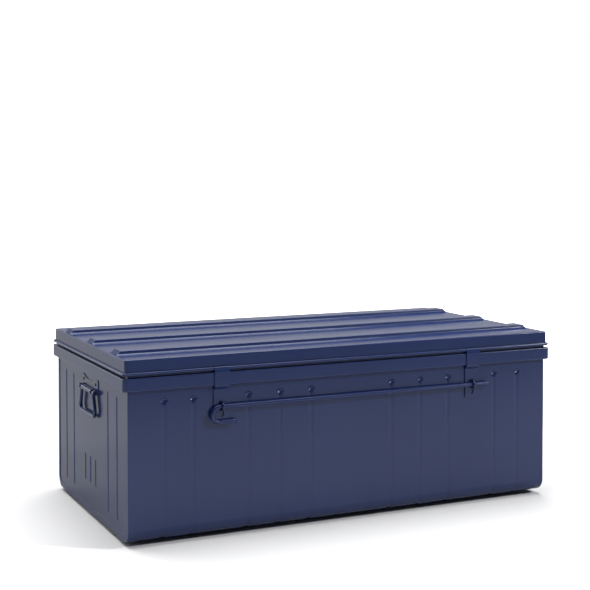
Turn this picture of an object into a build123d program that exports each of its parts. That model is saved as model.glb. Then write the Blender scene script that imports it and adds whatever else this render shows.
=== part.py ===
from build123d import *
import os

# Painted sheet-steel trunk: wired lid rim, two hasps closed over staples, one locking bar
# through both staples, and a drop handle on each end.
# Millimetres. X runs along the length, -Y is the front, +Z is up.
# The origin is the middle of the footprint, on the floor.

# ---------------------------------------------------------------- driving sizes
LID_LENGTH = 762.0  # over the lid's skirt
LID_WIDTH = 406.0
LID_TOP = 285.0  # the flat of the lid, above the floor
SHEET = 0.8  # lid, body and collar
STRIP = 1.2  # hasps, hinges, handle plates and backing plates

LID_CORNER = 4.0  # outer radius of the lid's upright corners
LID_EDGE = 1.5  # outer radius round the top of the lid
SKIRT_DROP = 21.5  # the flat of the lid down to the rim wire
RIM_WIRE = 3.2
RIM_WIRE_PLAY = 0.05  # wire in its rolled rim, radial
RIM_STEP = 1.6  # the wire's centre, out from the skirt's face
RIM_WIRE_GAP = 1.0  # between the wire's two ends, middle of the back

LID_PLAY_ENDS = 3.8  # skirt to body at the two ends
LID_PLAY_SIDES = 0.9  # skirt to body, front and back
LID_SEAT = 0.5  # body rim to the underside of the lid

RIB_COUNT = 3  # ribs along the lid, and as many under the bottom that it stands on
RIB_PITCH = 133.0
RIB_BASE = 32.0
RIB_HEIGHT = 6.0
RIB_SIDE_SLOPE = 2.0  # run of the slope along each side
RIB_END_SLOPE = 6.5
RIB_EDGE = 1.5  # radius round the crest
RIB_FOOT = 4.0  # outer radius round the foot
RIB_LAND = 0.5  # flat left beyond a rib's end

BODY_BEND = 22.0  # outer radius of the lower edges, front and back
BODY_CORNER = 1.2  # outer radius of the upright corners
SEAM = 9.0  # width of the seam flanges round each end
RIM_HEM = 8.0  # depth of the fold along the body's upper edge
RIM_HEM_END = 1.6  # between the front's fold and the end panel's flange

GROOVE_WIDTH = 9.0
GROOVE_DEPTH = 1.1
GROOVE_DROP = 15.5  # collar down to the upper tip of the long grooves
GROOVE_UNDER = 8.0  # how far they run on under the bottom
SIDE_GROOVES = (73.0, 127.0, 181.0, 272.5, 319.5)  # front and back, from the middle
END_GROOVES = (98.5, 145.5)  # on each end, from the middle
END_GROOVE_FOOT = 30.0  # above the floor
SHORT_GROOVES = (-29.0, 0.0, 29.0)
SHORT_GROOVE_FOOT = 54.0
SHORT_GROOVE_TOP = 100.0

COLLAR_DROP = 6.0  # rim wire down to the collar
COLLAR_HEIGHT = 20.0
COLLAR_PROUD_ENDS = 8.3  # the collar's face, out from the body's
COLLAR_PROUD_SIDES = 5.5
COLLAR_CORNER = 6.0
COLLAR_BEND = 1.6
COLLAR_JOINT = 178.0  # its butt joint, on the left end, from the middle
COLLAR_JOINT_GAP = 0.4

STRAP_WIDTH = 25.4  # hasps and hinge straps
STRAP_PLACE = 227.0  # from the middle
EYE_PLAY = 0.1  # rolled eye on the rim wire, radial
NOTCH_PLAY = 0.5  # rolled eye in the notch of the rim, each side
STRAP_COLLAR_PLAY = 0.3
STRAP_BEND = 1.5  # centre-line radius of the bends
STRAP_LEAD = 4.0  # height over which the strap steps out from its eye
JOGGLE = 5.5  # height of the step below the collar
JOGGLE_DROP = 1.0  # the step starts this far below the collar
HASP_PLAY = 0.5  # hasp to the front of the body
HASP_REACH = 21.8  # hasp's foot below the bar
HASP_CORNER = 1.5
SLOT_WIDTH = 8.0
SLOT_BELOW = 16.8  # the slot's two ends, below and above the bar
SLOT_ABOVE = 9.7
HINGE_REACH = 42.5  # hinge strap's foot below the collar

BAR = 6.4
BAR_DROP = 32.7  # collar down to the bar
BAR_PLAY = 1.1  # bar to the hasps behind it
BAR_END = 257.5  # plain right end, from the middle
BAR_CHAMFER = 0.8
HOOK_RADIUS = 12.0
HOOK_START = 231.0  # left of the middle
HOOK_TIP = 204.0  # left of the middle

STAPLE_WIRE = 3.6
STAPLE_PLAY = 0.4  # bar in the staple, radial
STAPLE_HEAD = 6.0  # hammered ends, inside the body
STAPLE_HEAD_RISE = 1.0
SHANK_PLAY = 0.05  # rivets and staple legs in their holes, radial
BACKING = 36.0

RIVET = 3.2
RIVET_HEAD = 6.4
RIVET_RISE = 1.6
RIVET_TAIL = 5.0
RIVET_TAIL_RISE = 1.2
HINGE_RIVETS = (15.5, 33.5)  # below the collar
HANDLE_RIVET = (34.0, 12.5)  # from the middle, above the bail's axis

BAIL = 5.5
BAIL_PLAY = 0.25  # bail in its rolled eyes, radial
BAIL_DROP = 28.0  # collar down to the bail's axis
BAIL_OFF = 0.2  # rolled eyes to the end panel
BAIL_STUB = 42.0  # tips of the out-turned ends, from the middle
BAIL_NECK = 32.0
BAIL_WIDE = (42.0, 29.5)  # from the middle, below the axis
BAIL_GRIP = (37.0, 39.0)
BAIL_NECK_BEND = 3.6
BAIL_WIDE_BEND = 8.0
BAIL_GRIP_BEND = 6.0
EYE = (36.5, 43.0)  # inner and outer ends of each rolled eye
ROLL = 27.5  # half length of the roll between the legs
PLATE_HALF = 47.5  # from the middle
PLATE_LOBE = (36.0, 20.5)  # from the middle, above the bail's axis
PLATE_DIP = 6.0  # from the lobes down to the middle of the upper edge
PLATE_SHOULDER = 7.5  # above the bail's axis
PLATE_CORNER = 5.0

PAST = 1.0  # how far each cutting tool runs on past what it cuts

# ---------------------------------------------------------------- places worked out from them
LID_X = LID_LENGTH / 2
LID_Y = LID_WIDTH / 2
LID_UNDER = LID_TOP - SHEET
RIM_Z = LID_TOP - SKIRT_DROP
RIM_BORE = RIM_WIRE / 2 + RIM_WIRE_PLAY
RIM_ROLL = RIM_BORE + SHEET
RIM_Y = LID_Y + RIM_STEP

BODY_X = LID_X - SHEET - LID_PLAY_ENDS
BODY_Y = LID_Y - SHEET - LID_PLAY_SIDES
BODY_TOP = LID_UNDER - LID_SEAT
BODY_FOOT = RIB_HEIGHT  # the flat of the bottom
PANEL_X = BODY_X - SHEET  # outer face of an end panel, behind the seam flange

COLLAR_X = BODY_X + COLLAR_PROUD_ENDS
COLLAR_Y = BODY_Y + COLLAR_PROUD_SIDES
COLLAR_TOP = RIM_Z - COLLAR_DROP
COLLAR_FOOT = COLLAR_TOP - COLLAR_HEIGHT
GROOVE_TOP = COLLAR_FOOT - GROOVE_DROP

EYE_BORE = RIM_WIRE / 2 + EYE_PLAY
EYE_OUTER = EYE_BORE + STRIP
STRAP_UPPER = COLLAR_Y + STRAP_COLLAR_PLAY + STRIP / 2  # centre line in front of the collar
HASP_LOWER = BODY_Y + HASP_PLAY + STRIP / 2
HINGE_LOWER = BODY_Y + STRIP / 2

BAR_Y = HASP_LOWER + STRIP / 2 + BAR_PLAY + BAR / 2
BAR_Z = COLLAR_FOOT - BAR_DROP
STAPLE_BEND = BAR / 2 + STAPLE_PLAY + STAPLE_WIRE / 2
BACKING_Y = BODY_Y - SHEET - STRIP  # inner face of a backing plate

BAIL_Z = COLLAR_FOOT - BAIL_DROP
BAIL_BORE = BAIL / 2 + BAIL_PLAY
BAIL_ROLL = BAIL_BORE + STRIP
BAIL_X = PANEL_X + BAIL_OFF + BAIL_ROLL


# ---------------------------------------------------------------- shapes used again and again
def both_ways(places):
    return [side * place for place in places for side in (-1, 1)]


def block(low, high):
    """A box between two corners."""
    size = [h - l for l, h in zip(low, high)]
    middle = [(h + l) / 2 for l, h in zip(low, high)]
    return Pos(*middle) * Box(*size)


def rod(start, end, radius):
    """A round rod from one point to another."""
    run = Vector(*end) - Vector(*start)
    return extrude(Plane(start, z_dir=run) * Circle(radius), run.length)


def plan_block(half_x, half_y, corner, foot, top):
    """An upright block with rounded corners in plan."""
    outline = RectangleRounded(2 * half_x, 2 * half_y, corner)
    return extrude(Pos(0, 0, foot) * outline, top - foot)


def trough(half_x, half_y, bend, foot, top):
    """The body's form: square above, with both long lower edges rounded."""
    form = block((-half_x, -half_y, foot), (half_x, half_y, top))
    lower = form.edges().filter_by(Axis.X).sort_by(Axis.Z)[:2]
    return fillet(lower, bend)


def groove_tool(width, depth):
    """Radius of the round tool that presses a groove of this width and depth."""
    return (width**2 / 4 + depth**2) / (2 * depth)


TOOL = groove_tool(GROOVE_WIDTH, GROOVE_DEPTH)
TOOL_OUT = TOOL - GROOVE_DEPTH  # the tool's centre stands this far outside the face


def side_groove(x, skin):
    """The tool of one front groove, grown by skin: down the front, round the bend and under."""
    upper = Vector(x, -BODY_Y - TOOL_OUT, GROOVE_TOP - GROOVE_WIDTH / 2)
    centre = Vector(x, -BODY_Y + BODY_BEND, BODY_FOOT + BODY_BEND)
    bend_start = Vector(x, upper.Y, centre.Z)
    bend_middle = centre + Vector(0, -1, -1).normalized() * (BODY_BEND + TOOL_OUT)
    bend_end = Vector(x, centre.Y, BODY_FOOT - TOOL_OUT)
    under = bend_end + Vector(0, GROOVE_UNDER, 0)
    path = Line(upper, bend_start) + ThreePointArc(bend_start, bend_middle, bend_end)
    path += Line(bend_end, under)
    tool = sweep(Plane(upper, z_dir=(0, 0, -1)) * Circle(TOOL + skin), path=path)
    for tip in (upper, under):
        tool += Pos(tip) * Sphere(TOOL + skin)
    return tool


def end_groove(face_x, y, foot, top, skin):
    """The tool of one upright groove in an end panel, round at both tips."""
    inset = GROOVE_WIDTH / 2
    low = (face_x + TOOL_OUT, y, foot + inset)
    high = (face_x + TOOL_OUT, y, top - inset)
    tool = rod(low, high, TOOL + skin)
    for tip in (low, high):
        tool += Pos(*tip) * Sphere(TOOL + skin)
    return tool


def side_grooves(skin):
    front = [side_groove(x, skin) for x in both_ways(SIDE_GROOVES)]
    return front + [mirror(tool, about=Plane.XZ) for tool in front]


def end_grooves(face_x, skin):
    long_ones = [end_groove(face_x, y, END_GROOVE_FOOT, GROOVE_TOP, skin) for y in both_ways(END_GROOVES)]
    short_ones = [end_groove(face_x, y, SHORT_GROOVE_FOOT, SHORT_GROOVE_TOP, skin) for y in SHORT_GROOVES]
    return long_ones + short_ones


def less(whole, cuts):
    """The whole with every cut taken out of it."""
    for cut in cuts:
        whole -= cut
    return whole


# ---------------------------------------------------------------- ribs of the lid and the bottom
RIBS = [RIB_PITCH * (n - (RIB_COUNT - 1) / 2) for n in range(RIB_COUNT)]


def bend_reach(run):
    """Length, per millimetre of bend radius, that the bend at the foot of a rib's slope takes up."""
    return (Vector(run, RIB_HEIGHT).length - run) / RIB_HEIGHT


def make_rib(half_length, skin):
    """One rib, sloped on all four sides, on a thin slab of the flat that its foot is blended into.

    The flat's outer face is at z = 0; skin is the sheet taken off for the inside.
    """
    half_x = half_length - (RIB_FOOT + skin) * bend_reach(RIB_END_SLOPE)
    half_y = RIB_BASE / 2 - skin * bend_reach(RIB_SIDE_SLOPE)

    def level(rise):
        """The rib's outline in plan at this height over the flat."""
        in_x, in_y = RIB_END_SLOPE * rise / RIB_HEIGHT, RIB_SIDE_SLOPE * rise / RIB_HEIGHT
        return Pos(0, 0, rise - skin) * Rectangle(2 * (half_x - in_x), 2 * (half_y - in_y))

    rib = loft([level(-SHEET), level(RIB_HEIGHT)], ruled=True)
    rib = fillet([edge for edge in rib.edges() if edge.bounding_box().max.Z > 0], RIB_EDGE)
    slab_x, slab_y = half_length + RIB_LAND / 2, RIB_BASE / 2 + RIB_FOOT
    rib += block((-slab_x, -slab_y, -skin - SHEET), (slab_x, slab_y, -skin))
    flat = rib.faces().filter_by(Axis.Z).sort_by(Axis.Z)[1]
    feet = [edge for wire in flat.inner_wires() for edge in wire.edges()]
    return fillet(feet, RIB_FOOT + skin)


def lid_ribs(skin):
    rib = make_rib(LID_X - LID_EDGE - RIB_LAND, skin)
    return [Pos(0, y, LID_TOP) * rib for y in RIBS]


def bottom_ribs(skin):
    rib = mirror(make_rib(PANEL_X - SEAM - RIB_LAND, skin), about=Plane.XY)
    return [Pos(0, y, BODY_FOOT) * rib for y in RIBS]


# ---------------------------------------------------------------- body
STAPLE_LEGS = [BAR_Z - STAPLE_BEND, BAR_Z + STAPLE_BEND]


def front_holes(play):
    """The staple legs' holes through the front of the body and its backing plates."""
    radius = STAPLE_WIRE / 2 + play
    return [
        rod((x, -BODY_Y - PAST, z), (x, -BACKING_Y + PAST, z), radius)
        for x in (-STRAP_PLACE, STRAP_PLACE)
        for z in STAPLE_LEGS
    ]


def back_holes(play):
    """The hinge rivets' holes through the back of the body and the hinge straps."""
    radius = RIVET / 2 + play
    places = [(x, COLLAR_FOOT - drop) for x in (-STRAP_PLACE, STRAP_PLACE) for drop in HINGE_RIVETS]
    inner, outer = BODY_Y - SHEET - PAST, BODY_Y + STRIP + PAST
    return [rod((x, inner, z), (x, outer, z), radius) for x, z in places]


def make_body_wrap():
    """Front, bottom and back in one sheet, with a seam flange turned in round each end."""
    outside = trough(BODY_X, BODY_Y, BODY_BEND, BODY_FOOT, BODY_TOP)
    corner_edges = [
        edge
        for end in (outside.faces().sort_by(Axis.X)[0], outside.faces().sort_by(Axis.X)[-1])
        for edge in end.edges()
        if edge.center().Z < BODY_TOP
    ]
    outside = less(fillet(corner_edges, BODY_CORNER), side_grooves(0)) + bottom_ribs(0)
    hollow = trough(PANEL_X, BODY_Y - SHEET, BODY_BEND - SHEET, BODY_FOOT + SHEET, BODY_TOP + PAST)
    hollow = less(hollow, side_grooves(SHEET)) + bottom_ribs(SHEET)
    mouth = trough(BODY_X + PAST, BODY_Y - SEAM, BODY_BEND - SEAM, BODY_FOOT + SEAM, BODY_TOP + PAST)
    wrap = less(outside, [hollow, mouth])
    hem_x = PANEL_X - SEAM - RIM_HEM_END
    for side in (-1, 1):
        outer, inner = side * (BODY_Y - SHEET), side * (BODY_Y - 2 * SHEET)
        low = (-hem_x, min(outer, inner), BODY_TOP - RIM_HEM)
        wrap += block(low, (hem_x, max(outer, inner), BODY_TOP))
    return less(wrap, front_holes(SHANK_PLAY) + back_holes(SHANK_PLAY))


def handle_holes(play):
    """The handle rivets' holes through the right end panel and handle plate."""
    y, rise = HANDLE_RIVET
    z = BAIL_Z + rise
    return [
        rod((PANEL_X - SHEET - PAST, side * y, z), (PANEL_X + STRIP + PAST, side * y, z), RIVET / 2 + play)
        for side in (-1, 1)
    ]


def make_right_end_panel():
    """A pressed end with its flange turned in under the body wrap, and a folded upper edge."""
    foot = BODY_FOOT + SHEET
    outside = trough(PANEL_X, BODY_Y - SHEET, BODY_BEND - SHEET, foot, BODY_TOP)
    hollow = trough(PANEL_X - SHEET, BODY_Y - 2 * SHEET, BODY_BEND - 2 * SHEET, foot + SHEET, BODY_TOP + PAST)
    hollow = less(hollow, end_grooves(PANEL_X, SHEET))
    panel = less(outside, end_grooves(PANEL_X, 0) + [hollow])
    panel &= block((PANEL_X - SEAM, -BODY_Y, BODY_FOOT), (BODY_X, BODY_Y, BODY_TOP))
    hem_y = BODY_Y - 2 * SHEET
    low = (PANEL_X - 2 * SHEET, -hem_y, BODY_TOP - RIM_HEM)
    panel += block(low, (PANEL_X - SHEET, hem_y, BODY_TOP))
    return less(panel, handle_holes(SHANK_PLAY))


def make_collar_band():
    """A channel round the body, open towards it, butted at one joint on the left end."""
    outside = plan_block(COLLAR_X, COLLAR_Y, COLLAR_CORNER, COLLAR_FOOT, COLLAR_TOP)
    rims = [
        edge
        for face in (outside.faces().sort_by(Axis.Z)[0], outside.faces().sort_by(Axis.Z)[-1])
        for edge in face.edges()
    ]
    outside = fillet(rims, COLLAR_BEND)
    body = plan_block(BODY_X, BODY_Y, BODY_CORNER, COLLAR_FOOT - PAST, COLLAR_TOP + PAST)
    channel = plan_block(
        COLLAR_X - SHEET,
        COLLAR_Y - SHEET,
        COLLAR_CORNER - SHEET,
        COLLAR_FOOT + SHEET,
        COLLAR_TOP - SHEET,
    )
    half_gap = COLLAR_JOINT_GAP / 2
    joint = block(
        (-COLLAR_X - PAST, COLLAR_JOINT - half_gap, COLLAR_FOOT - PAST),
        (-BODY_X + PAST, COLLAR_JOINT + half_gap, COLLAR_TOP + PAST),
    )
    return less(outside, [channel, body, joint])


# ---------------------------------------------------------------- lid
def rim_tube(radius):
    """A round bar along the centre line of the rim wire, all the way round."""
    outline = RectangleRounded(2 * (LID_X + RIM_STEP), 2 * RIM_Y, LID_CORNER + RIM_STEP)
    path = Pos(0, 0, RIM_Z) * outline.wire()
    return sweep(Plane(path @ 0, z_dir=path % 0) * Circle(radius), path=path)


def make_lid_shell():
    """Pressed tray with raised ribs; the skirt's edge is rolled round the rim wire."""
    outside = plan_block(LID_X, LID_Y, LID_CORNER, RIM_Z, LID_TOP)
    outside = fillet(outside.faces().sort_by(Axis.Z)[-1].edges(), LID_EDGE)
    inside = plan_block(LID_X - SHEET, LID_Y - SHEET, LID_CORNER - SHEET, RIM_Z - PAST, LID_UNDER)
    inside = fillet(inside.faces().sort_by(Axis.Z)[-1].edges(), LID_EDGE - SHEET)
    shell = outside + lid_ribs(0) - (inside + lid_ribs(SHEET))
    shell = shell + rim_tube(RIM_ROLL) - rim_tube(RIM_BORE)
    half = STRAP_WIDTH / 2 + NOTCH_PLAY
    reach = EYE_OUTER + NOTCH_PLAY
    notches = [
        block((x - half, side * RIM_Y - reach, RIM_Z - reach), (x + half, side * RIM_Y + reach, RIM_Z + reach))
        for x in (-STRAP_PLACE, STRAP_PLACE)
        for side in (-1, 1)
    ]
    return less(shell, notches)


def make_lid_rim_wire():
    """One wire round the lid, its two ends almost meeting in the middle of the back."""
    low = (-RIM_WIRE_GAP / 2, RIM_Y - RIM_WIRE, RIM_Z - RIM_WIRE)
    high = (RIM_WIRE_GAP / 2, RIM_Y + RIM_WIRE, RIM_Z + RIM_WIRE)
    return rim_tube(RIM_WIRE / 2) - block(low, high)


# ---------------------------------------------------------------- straps: hasps and hinges
def make_strap(lower, foot):
    """A strap on the front, at x = 0: rolled round the rim wire, over the collar, then stepped in."""
    eye_line = RIM_Y + EYE_BORE + STRIP / 2
    step = COLLAR_FOOT - JOGGLE_DROP
    line = FilletPolyline(
        (eye_line, RIM_Z),
        (eye_line, RIM_Z - STRAP_BEND),
        (STRAP_UPPER, RIM_Z - STRAP_BEND - STRAP_LEAD),
        (STRAP_UPPER, step),
        (lower, step - JOGGLE),
        (lower, foot),
        radius=STRAP_BEND,
    )
    outline = trace(line, STRIP)
    outline += Pos(RIM_Y, RIM_Z) * Circle(EYE_OUTER)
    outline -= Pos(RIM_Y, RIM_Z) * Circle(EYE_BORE)
    strap = extrude(Plane.YZ * outline, STRAP_WIDTH / 2, both=True)
    foot_edges = strap.edges().filter_by(Axis.Y).sort_by(Axis.Z)[:2]
    return mirror(fillet(foot_edges, HASP_CORNER), about=Plane.XZ)


def make_hasp():
    """A hasp at x = 0, with its upright slot."""
    middle = BAR_Z + (SLOT_ABOVE - SLOT_BELOW) / 2
    slot = Plane.XZ * Pos(0, middle) * SlotOverall(SLOT_ABOVE + SLOT_BELOW, SLOT_WIDTH, 90)
    strap = make_strap(HASP_LOWER, BAR_Z - HASP_REACH)
    return strap - Pos(0, -HASP_LOWER, 0) * extrude(slot, STRIP, both=True)


def make_hinge_strap(x):
    """A strap on the back, lying on the body below the collar."""
    strap = Pos(x, 0, 0) * mirror(make_strap(HINGE_LOWER, COLLAR_FOOT - HINGE_REACH), about=Plane.XZ)
    return less(strap, back_holes(SHANK_PLAY))


def dome(radius, rise):
    """A low domed head that sits on z = 0."""
    ball = (radius**2 + rise**2) / (2 * rise)
    return (Pos(0, 0, rise - ball) * Sphere(ball)) & block((-radius, -radius, 0), (radius, radius, rise))


def rivet(grip):
    """A rivet through sheets of the given grip: head above z = 0, hammered tail below."""
    tail = Pos(0, 0, -grip - RIVET_TAIL_RISE) * extrude(Circle(RIVET_TAIL / 2), RIVET_TAIL_RISE)
    shank = Pos(0, 0, -grip) * extrude(Circle(RIVET / 2), grip)
    return dome(RIVET_HEAD / 2, RIVET_RISE) + shank + tail


def make_hinge_rivets(x):
    """The rivets of one hinge strap, heads outside."""
    seats = [(x, BODY_Y + STRIP, COLLAR_FOOT - drop) for drop in HINGE_RIVETS]
    return [Plane(seat, z_dir=(0, 1, 0)) * rivet(STRIP + SHEET) for seat in seats]


# ---------------------------------------------------------------- staples, their plates, the bar
def make_backing_plate(x):
    """A square plate inside the front, under the hammered legs of a staple."""
    low = (x - BACKING / 2, -BACKING_Y - STRIP, BAR_Z - BACKING / 2)
    plate = block(low, (x + BACKING / 2, -BACKING_Y, BAR_Z + BACKING / 2))
    return less(plate, front_holes(SHANK_PLAY))


def make_staple(x):
    """A wire loop round the bar, its two legs through the front and hammered over inside."""
    low, high = STAPLE_LEGS
    inside = Vector(x, -BACKING_Y, 0)
    turn = Vector(x, -BAR_Y, 0)
    start, bend_start = inside + Vector(0, 0, low), turn + Vector(0, 0, low)
    bend_end, finish = turn + Vector(0, 0, high), inside + Vector(0, 0, high)
    bend_middle = turn + Vector(0, -STAPLE_BEND, BAR_Z)
    path = Line(start, bend_start) + ThreePointArc(bend_start, bend_middle, bend_end)
    path += Line(bend_end, finish)
    loop = sweep(Plane(start, z_dir=(0, -1, 0)) * Circle(STAPLE_WIRE / 2), path=path)
    for end in (start, finish):
        loop += extrude(Plane(end, z_dir=(0, 1, 0)) * Circle(STAPLE_HEAD / 2), STAPLE_HEAD_RISE)
    return loop


def make_locking_bar():
    """A round rod through both staples, its left end bent down and back into a hook."""
    low = BAR_Z - 2 * HOOK_RADIUS
    right, bend_start = Vector(BAR_END, -BAR_Y, BAR_Z), Vector(-HOOK_START, -BAR_Y, BAR_Z)
    bend_middle = Vector(-HOOK_START - HOOK_RADIUS, -BAR_Y, BAR_Z - HOOK_RADIUS)
    bend_end, tip = Vector(-HOOK_START, -BAR_Y, low), Vector(-HOOK_TIP, -BAR_Y, low)
    path = Line(right, bend_start) + ThreePointArc(bend_start, bend_middle, bend_end)
    path += Line(bend_end, tip)
    bar = sweep(Plane(right, z_dir=(-1, 0, 0)) * Circle(BAR / 2), path=path)
    ends = [
        face.edges()
        for face in bar.faces().filter_by(Plane.YZ)
        if face.geom_type == GeomType.PLANE
    ]
    return chamfer([edge for edges in ends for edge in edges], BAR_CHAMFER)


# ---------------------------------------------------------------- handles, made for the right end
def plate_outline():
    """The handle plate's outline, seen from outside the end: two lobes above, straight below."""
    lobe, rise = PLATE_LOBE
    top, shoulder = BAIL_Z + rise, BAIL_Z + PLATE_SHOULDER
    edge = Polyline(
        (-lobe, top),
        (-PLATE_HALF, top),
        (-PLATE_HALF, shoulder),
        (-EYE[1], BAIL_Z),
        (EYE[1], BAIL_Z),
        (PLATE_HALF, shoulder),
        (PLATE_HALF, top),
        (lobe, top),
    )
    outline = make_face(edge + ThreePointArc((-lobe, top), (0, top - PLATE_DIP), (lobe, top)))
    upper = outline.vertices().group_by(Axis.Y)[-1].sort_by(Axis.X)
    return fillet([upper[0], upper[-1]], PLATE_CORNER)


def make_right_handle_plate():
    """A sheet plate whose lower edge is rolled into two eyes for the bail and a roll between."""
    plate = Plane.YZ * plate_outline()
    plate = Pos(PANEL_X, 0, 0) * extrude(plate, STRIP, dir=(1, 0, 0))
    spans = [(-EYE[1], -EYE[0]), (-ROLL, ROLL), EYE]
    for low, high in spans:
        plate += rod((BAIL_X, low, BAIL_Z), (BAIL_X, high, BAIL_Z), BAIL_ROLL)
    for low, high in spans:
        plate -= rod((BAIL_X, low - PAST, BAIL_Z), (BAIL_X, high + PAST, BAIL_Z), BAIL_BORE)
    return less(plate, handle_holes(SHANK_PLAY))


def make_right_handle_rivets():
    """The two rivets of the right handle plate, heads outside."""
    y, rise = HANDLE_RIVET
    seats = [(PANEL_X + STRIP, side * y, BAIL_Z + rise) for side in (-1, 1)]
    return [Plane(seat, z_dir=(1, 0, 0)) * rivet(STRIP + SHEET) for seat in seats]


def make_right_bail():
    """A wire bail, wider below than at its neck, its ends turned out into the eyes."""
    corners = [(BAIL_STUB, 0), (BAIL_NECK, 0), BAIL_WIDE, BAIL_GRIP]
    left = [(BAIL_X, -y, BAIL_Z - drop) for y, drop in corners]
    right = [(BAIL_X, y, BAIL_Z - drop) for y, drop in reversed(corners)]
    bends = [BAIL_NECK_BEND, BAIL_WIDE_BEND, BAIL_GRIP_BEND]
    path = FilletPolyline(*left, *right, radius=bends + bends[::-1])
    return sweep(Plane(path @ 0, z_dir=path % 0) * Circle(BAIL / 2), path=path)


# ---------------------------------------------------------------- the whole trunk, one file for each piece
def both_ends(name, right_piece):
    """A piece of the right end and its mirror image on the left end."""
    left_piece = [mirror(solid, about=Plane.YZ) for solid in right_piece.solids()]
    return {f"right_{name}": right_piece.solids(), f"left_{name}": left_piece}


def make_pieces():
    pieces = {
        "body_wrap": make_body_wrap(),
        "collar_band": make_collar_band(),
        "lid_shell": make_lid_shell(),
        "lid_rim_wire": make_lid_rim_wire(),
        "locking_bar": make_locking_bar(),
    }
    pieces = {name: piece.solids() for name, piece in pieces.items()}
    pieces |= both_ends("end_panel", make_right_end_panel())
    pieces |= both_ends("handle_plate", make_right_handle_plate())
    pieces |= both_ends("handle_bail", make_right_bail())
    pieces |= both_ends("handle_rivets", ShapeList(make_right_handle_rivets()))
    for side, x in (("left", -STRAP_PLACE), ("right", STRAP_PLACE)):
        pieces[f"{side}_hasp"] = (Pos(x, 0, 0) * make_hasp()).solids()
        pieces[f"{side}_staple"] = make_staple(x).solids()
        pieces[f"{side}_backing_plate"] = make_backing_plate(x).solids()
        pieces[f"{side}_hinge_strap"] = make_hinge_strap(x).solids()
        pieces[f"{side}_hinge_rivets"] = ShapeList(make_hinge_rivets(x)).solids()
    return pieces


os.makedirs("parts", exist_ok=True)
for name, solids in make_pieces().items():
    export_step(Compound(solids), f"parts/{name}.step")
    print(name, len(solids))
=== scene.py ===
import math

import bpy
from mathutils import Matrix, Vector


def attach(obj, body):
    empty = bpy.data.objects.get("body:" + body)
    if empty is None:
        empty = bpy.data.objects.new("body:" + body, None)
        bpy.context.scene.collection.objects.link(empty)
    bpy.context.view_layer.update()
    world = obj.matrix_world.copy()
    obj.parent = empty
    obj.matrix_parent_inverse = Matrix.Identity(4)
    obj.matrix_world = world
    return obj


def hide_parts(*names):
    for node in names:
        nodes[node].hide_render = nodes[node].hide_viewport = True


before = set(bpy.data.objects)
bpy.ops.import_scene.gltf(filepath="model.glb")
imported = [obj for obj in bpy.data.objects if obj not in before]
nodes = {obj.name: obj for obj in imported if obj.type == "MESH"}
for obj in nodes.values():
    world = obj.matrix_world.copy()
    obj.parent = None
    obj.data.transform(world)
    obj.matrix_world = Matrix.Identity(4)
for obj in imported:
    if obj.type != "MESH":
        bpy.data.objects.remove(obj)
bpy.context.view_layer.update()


# ---------------------------------------------------------------- shader maths
class Socket:
    """A shader value that Python's operators work on; each one adds a Math node."""

    def __init__(self, tree, link):
        self.tree, self.link = tree, link

    def node(self, kind, inputs=(), out=0, **settings):
        """Adds a node: its settings first, then the values or links of its sockets."""
        made = self.tree.nodes.new("ShaderNode" + kind)
        for name, value in settings.items():
            setattr(made, name, value)
        for name, value in dict(inputs).items():
            if isinstance(value, Socket):
                self.tree.links.new(value.link, made.inputs[name])
            else:
                made.inputs[name].default_value = value
        return Socket(self.tree, made.outputs[out])

    def split(self):
        """The X, Y and Z of a vector."""
        parts = self.node("SeparateXYZ", {0: self}).link.node.outputs
        return [Socket(self.tree, parts[letter]) for letter in "XYZ"]

    def maths(self, operation, *others):
        return self.node("Math", dict(enumerate((self, *others))), operation=operation)

    def __add__(self, other):
        return self.maths("ADD", other)

    def __sub__(self, other):
        return self.maths("SUBTRACT", other)

    def __rsub__(self, other):
        return self.node("Math", {0: other, 1: self}, operation="SUBTRACT")

    def __mul__(self, other):
        return self.maths("MULTIPLY", other)

    def __abs__(self):
        return self.maths("ABSOLUTE")

    __radd__, __rmul__ = __add__, __mul__

    def soft_step(self, low, high):
        """0 below low, 1 above high, smooth between."""
        inputs = {0: self, 1: low, 2: high, 3: 0.0, 4: 1.0}
        return self.node("MapRange", inputs, interpolation_type="SMOOTHSTEP")


def new_material(name):
    """An empty node material; returns it, its shader node and a starting socket."""
    material = bpy.data.materials.new(name)
    material.use_nodes = True
    tree = material.node_tree
    shader = tree.nodes["Principled BSDF"]
    return material, shader, Socket(tree, None)


def object_place(start):
    """Object coordinates, in metres."""
    return start.node("TexCoord", out="Object")


def seen_by_camera(start):
    """1 where the camera looks at a surface straight, 0 for the light that goes between surfaces."""
    return start.node("LightPath", out="Is Camera Ray")


def noise(start, place, scale, detail, roughness=0.5):
    inputs = {"Vector": place, "Scale": scale, "Detail": detail, "Roughness": roughness}
    return start.node("TexNoise", inputs)


def blend(start, factor, first, second):
    """A colour between two others."""
    inputs = {0: factor, 6: first, 7: second}
    return start.node("Mix", inputs, out=2, data_type="RGBA", clamp_factor=True)


def connect(value, shader, socket):
    value.tree.links.new(value.link, shader.inputs[socket])


# ---------------------------------------------------------------- finishes
BLUE = (0.0175, 0.0350, 0.1280, 1.0)
BLUE_WORN = (0.0260, 0.0440, 0.1400, 1.0)
BLUE_DEEP = (0.0150, 0.0300, 0.1120, 1.0)
STEEL_DARK = (0.34, 0.34, 0.35, 1.0)
STEEL_LIGHT = (0.50, 0.50, 0.51, 1.0)

# X of the long sides' grooves, the same on either side of the middle
GROOVE_PLACES = (0.0730, 0.1270, 0.1810, 0.2725, 0.3195)
GROOVE_HALF_WIDTH = 0.0045
RUN_LIFT = 0.0007  # how much shallower the grooves are shaded than they are pressed
RUN_ENDS = (0.212, 0.219)  # this fades out between these heights, under the dimples


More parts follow.
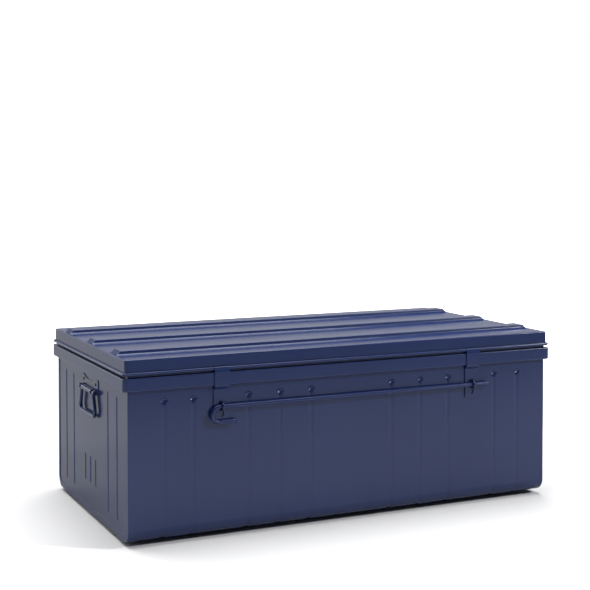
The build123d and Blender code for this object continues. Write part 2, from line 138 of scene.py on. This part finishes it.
def shallower_runs(start, place, bumps):
    """Shades the long sides' grooves, and their ridges inside, as shallower than they are."""
    x, y, z = place.split()
    gaps = [abs(abs(x) - groove) for groove in GROOVE_PLACES]
    gap = gaps[0]
    for other in gaps[1:]:
        gap = gap.maths("MINIMUM", other)
    across = gap * (1 / GROOVE_HALF_WIDTH)
    run = (1.0 - across * across).maths("MAXIMUM", 0.0) * (1.0 - z.soft_step(*RUN_ENDS))
    facing_y = start.node("TexCoord", out="Normal").split()[1]
    outwards = y.maths("SIGN") * facing_y
    height = run * RUN_LIFT * outwards
    return start.node("Bump", {"Strength": 1.0, "Distance": 1.0, "Height": height, "Normal": bumps})


def enamel(name, ripple=0.0, worn=0.0, grooved=False):
    """Slate blue enamel over sheet steel: even colour, faint orange peel, a little hand wear."""
    material, shader, start = new_material(name)
    place = object_place(start)
    cloud = noise(start, place, 6.0, 3.0)
    tint = blend(start, cloud.soft_step(0.35, 0.70) * 0.5, BLUE, BLUE_DEEP)
    if worn:
        rubbed = noise(start, place, 24.0, 3.0).soft_step(0.40, 0.75)
        tint = blend(start, rubbed * worn, tint, BLUE_WORN)
    connect(tint, shader, "Base Color")
    smear = noise(start, place, 14.0, 3.0, 0.6)
    connect(0.17 + smear * 0.05, shader, "Roughness")
    peel = noise(start, place, 900.0, 1.0)
    swell = noise(start, place, 7.0, 1.0)
    bumps = start.node("Bump", {"Strength": 0.04, "Distance": 0.0002, "Height": peel})
    bumps = start.node("Bump", {"Strength": ripple, "Distance": 0.002, "Height": swell, "Normal": bumps})
    if grooved:
        bumps = shallower_runs(start, place, bumps)
    connect(bumps, shader, "Normal")
    shader.inputs["IOR"].default_value = 1.5
    return material


def drawn_wire(name):
    """Bright drawn steel wire, hidden in the lid's rolled rim."""
    material, shader, start = new_material(name)
    fine = noise(start, object_place(start), 260.0, 3.0)
    connect(blend(start, fine, STEEL_DARK, STEEL_LIGHT), shader, "Base Color")
    connect(0.30 + fine * 0.15, shader, "Roughness")
    shader.inputs["Metallic"].default_value = 1.0
    return material


sheet_enamel = enamel("sheet_enamel", ripple=0.03)
hardware_enamel = enamel("hardware_enamel", worn=0.2)

finishes = dict.fromkeys(("left_end_panel", "right_end_panel", "collar_band", "lid_shell"), sheet_enamel)
finishes["body_wrap"] = enamel("grooved_enamel", ripple=0.03, grooved=True)
finishes["lid_rim_wire"] = drawn_wire("rim_wire_steel")

for name, node in nodes.items():
    node.data.materials.clear()
    node.data.materials.append(finishes.get(name, hardware_enamel))


# ---------------------------------------------------------------- the dimples over the grooves
SHEET = 0.0008
SKIN_Y = 0.2013  # the long sides' outer face
DIMPLE_REACH = (0.0086, 0.0060, 0.0050)  # half sizes of the ellipsoid that presses one dimple
DIMPLE_CENTRE = 0.0036  # how far outside the skin the ellipsoid's middle stands
DIMPLE_Z = 0.2203
SAME_POINT = 0.000001
CREASE = math.radians(20)


def deselect_all():
    bpy.ops.object.select_all(action="DESELECT")


def take_up(*pieces):
    """Selects these objects alone, the first one active."""
    deselect_all()
    for piece in pieces:
        piece.select_set(True)
    bpy.context.view_layer.objects.active = pieces[0]


def ellipsoid(x, side, grown):
    """One press tool at a groove's top, on the front (side -1) or the back (side 1)."""
    deselect_all()
    centre = (x, side * (SKIN_Y + DIMPLE_CENTRE), DIMPLE_Z)
    bpy.ops.mesh.primitive_uv_sphere_add(segments=32, ring_count=20, radius=1.0, location=centre)
    tool = bpy.context.object
    tool.scale = [reach + grown for reach in DIMPLE_REACH]
    bpy.ops.object.transform_apply(location=True, rotation=True, scale=True)
    return tool


def bulge(x, side):
    """The dimple's back: the tool grown by the sheet's thickness, cut off half way through the sheet."""
    tool = ellipsoid(x, side, SHEET)
    bpy.ops.object.mode_set(mode="EDIT")
    bpy.ops.mesh.select_all(action="SELECT")
    bpy.ops.mesh.bisect(
        plane_co=(x, side * (SKIN_Y - SHEET / 2), DIMPLE_Z),
        plane_no=(0, side, 0),
        use_fill=True,
        clear_outer=True,
    )
    bpy.ops.object.mode_set(mode="OBJECT")
    return tool


def dimple(x, side):
    return ellipsoid(x, side, 0.0)


def press(piece, make_tool, operation):
    """Joins or cuts one tool for each groove's top, front and back."""
    columns = (*GROOVE_PLACES, *(-groove for groove in GROOVE_PLACES))
    tools = [make_tool(x, side) for side in (-1, 1) for x in columns]
    take_up(*tools)
    bpy.ops.object.join()
    take_up(piece)
    step = piece.modifiers.new("press", "BOOLEAN")
    step.object, step.operation, step.solver = tools[0], operation, "EXACT"
    bpy.ops.object.modifier_apply(modifier=step.name)
    bpy.data.objects.remove(tools[0])


def dimpled_wrap():
    """The body wrap again, with a dimple pressed in at the top of each groove of its long sides."""
    wrap = bpy.data.objects.new("dimpled_body_wrap", nodes["body_wrap"].data.copy())
    bpy.context.scene.collection.objects.link(wrap)
    take_up(wrap)
    bpy.ops.mesh.customdata_custom_splitnormals_clear()
    bpy.ops.object.mode_set(mode="EDIT")
    bpy.ops.mesh.select_all(action="SELECT")
    bpy.ops.mesh.remove_doubles(threshold=SAME_POINT)
    bpy.ops.object.mode_set(mode="OBJECT")
    press(wrap, bulge, "UNION")
    press(wrap, dimple, "DIFFERENCE")
    bpy.ops.object.shade_smooth_by_angle(angle=CREASE)
    even = wrap.modifiers.new("even", "WEIGHTED_NORMAL")
    even.keep_sharp, even.weight = True, 100
    bpy.ops.object.modifier_apply(modifier=even.name)
    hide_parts("body_wrap")
    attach(wrap, "case")


dimpled_wrap()


# ---------------------------------------------------------------- floor, lamps and camera
def grey(level):
    return (level, level, level, 1.0)


def pale_floor():
    """A pale floor: to the camera the lamps whiten it round the trunk, and it glows to white far away.
    To all other rays its colour is painted shade: greyer behind the trunk, fading to near black far in
    front.
    """
    deselect_all()
    bpy.ops.mesh.primitive_plane_add(size=80.0, location=(0, 0, 0))
    floor = bpy.context.object
    floor.name = "floor"
    material, shader, start = new_material("pale_floor")
    place = object_place(start)
    y = place.split()[1]
    seen = seen_by_camera(start)
    # painted shade: the floor's colour for light between surfaces, darker behind the trunk and fading to
    # near black far in front
    painted_shade_by_trunk = blend(start, y.soft_step(-0.3, 0.3), grey(0.60), grey(0.38))
    painted_floor_shade = blend(start, y.soft_step(-2.1, -0.9), grey(0.08), painted_shade_by_trunk)
    connect(blend(start, seen, painted_floor_shade, grey(0.90)), shader, "Base Color")
    far = start.node("VectorMath", {0: place}, out="Value", operation="LENGTH").soft_step(0.9, 2.4)
    connect(blend(start, far * seen, grey(0.0), grey(1.0)), shader, "Emission Color")
    shader.inputs["Emission Strength"].default_value = 1.0
    shader.inputs["Roughness"].default_value = 1.0
    shader.inputs["Specular IOR Level"].default_value = 0.0
    floor.data.materials.append(material)


def studio_world():
    """White to the camera; to the trunk a dim room with one pale band low down behind it."""
    world = bpy.data.worlds.new("studio")
    bpy.context.scene.world = world
    world.use_nodes = True
    tree = world.node_tree
    start = Socket(tree, None)
    y, z = object_place(start).split()[1:]
    band = y.soft_step(-0.1, 0.3) * (1.0 - z.soft_step(0.16, 0.36))
    room = blend(start, band, grey(0.06), grey(0.52))
    shade = blend(start, seen_by_camera(start), room, grey(1.0))
    tree.links.new(shade.link, tree.nodes["Background"].inputs["Color"])


def lamp(name, place, target, size, power):
    """A square soft lamp aimed at a point."""
    light = bpy.data.lights.new(name, "AREA")
    light.shape, light.size, light.energy = "SQUARE", size, power
    obj = bpy.data.objects.new(name, light)
    bpy.context.scene.collection.objects.link(obj)
    obj.location = place
    obj.rotation_euler = (Vector(target) - Vector(place)).to_track_quat("-Z", "Y").to_euler()


pale_floor()
studio_world()
lamp("overhead_lamp", (0.0, 0.9, 4.0), (0.0, 0.3, 0.0), 4.2, 262)
lamp("right_lamp", (4.2, -3.2, 3.6), (0.0, 0.0, 0.12), 0.8, 222)
lamp("back_left_lamp", (-2.6, 3.4, 2.0), (-0.2, 0.0, 0.15), 3.2, 60)

IMAGE_SIDE = 590
FOCAL_PIXELS = 1265.8
HORIZON_SHIFT = 86.5
SENSOR = 36.0
TILT_DOWN = 0.0362
TURN_RIGHT = 0.4398

camera_data = bpy.data.cameras.new("camera")
camera_data.sensor_width = SENSOR
camera_data.lens = FOCAL_PIXELS / IMAGE_SIDE * SENSOR
camera_data.shift_y = -HORIZON_SHIFT / IMAGE_SIDE
camera = bpy.data.objects.new("camera", camera_data)
bpy.context.scene.collection.objects.link(camera)
camera.location = (-0.9473, -1.9990, 0.5782)
camera.rotation_euler = (math.pi / 2 - TILT_DOWN, 0.0, -TURN_RIGHT)
bpy.context.scene.camera = camera

bpy.context.scene.view_settings.view_transform = "Standard"
